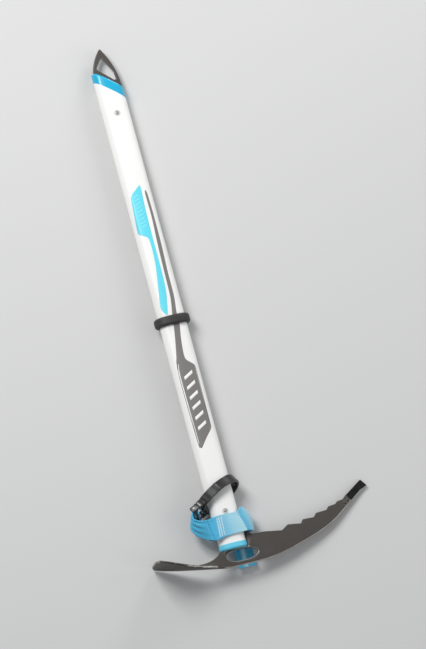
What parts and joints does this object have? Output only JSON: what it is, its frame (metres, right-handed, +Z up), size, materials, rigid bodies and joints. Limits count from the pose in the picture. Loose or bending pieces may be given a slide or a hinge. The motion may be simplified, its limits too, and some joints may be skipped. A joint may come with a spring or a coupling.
{
  "type": "ice axe",
  "caption": "Light mountaineering ice axe with a toothed pick, fan-shaped adze, oval tube shaft, pointed spike and a webbing leash on a sliding ring.",
  "frame": {"origin": "centre of the head's eye, in the middle of the head plate's thickness", "axes": "+X along the head to the pick tip, +Y along the shaft to the spike, +Z up, square to the head plate"},
  "size_m": [0.2537, 0.6006, 0.054],
  "materials": {
    "white_lacquer": "smooth satin white lacquer over aluminium tube, with cyan and grey printed panels",
    "head_alloy": "grey-brown hard anodised, bare and bright along worn edges",
    "tip_steel": "blackened steel with a bright worn upper edge",
    "pin_steel": "plain steel",
    "rivet_alloy": "plain grey, lightly domed",
    "collar_plastic": "light blue, satin",
    "plug_plastic": "cyan blue, semi-gloss",
    "stopper_rubber": "matte dark grey",
    "slider_plastic": "glossy black with fine grooves",
    "webbing": "woven light blue tape",
    "thread": "pale polyester thread"
  },
  "bodies": {
    "axe": {"shaft_tube": "white_lacquer", "head": "head_alloy", "pick_tip": "tip_steel", "pick_tip_pins": "pin_steel", "head_rivet": "rivet_alloy", "head_collar": "collar_plastic", "spike": "head_alloy", "spike_rivet": "rivet_alloy", "spike_plug": "plug_plastic"},
    "slider": {"slider_ring": "slider_plastic", "slider_pin": "pin_steel", "leash_webbing": "webbing", "leash_stitching": "thread"},
    "stopper": {"stopper_ring": "stopper_rubber"}
  },
  "joints": [
    {"name": "leash_slide", "type": "slide", "parent": "axe", "child": "slider", "axis": [0, 1, 0], "range_m": [0, 0.175]},
    {"name": "stopper_slide", "type": "slide", "parent": "axe", "child": "stopper", "axis": [0, 1, 0], "range_m": [0, 0.23]}
  ]
}
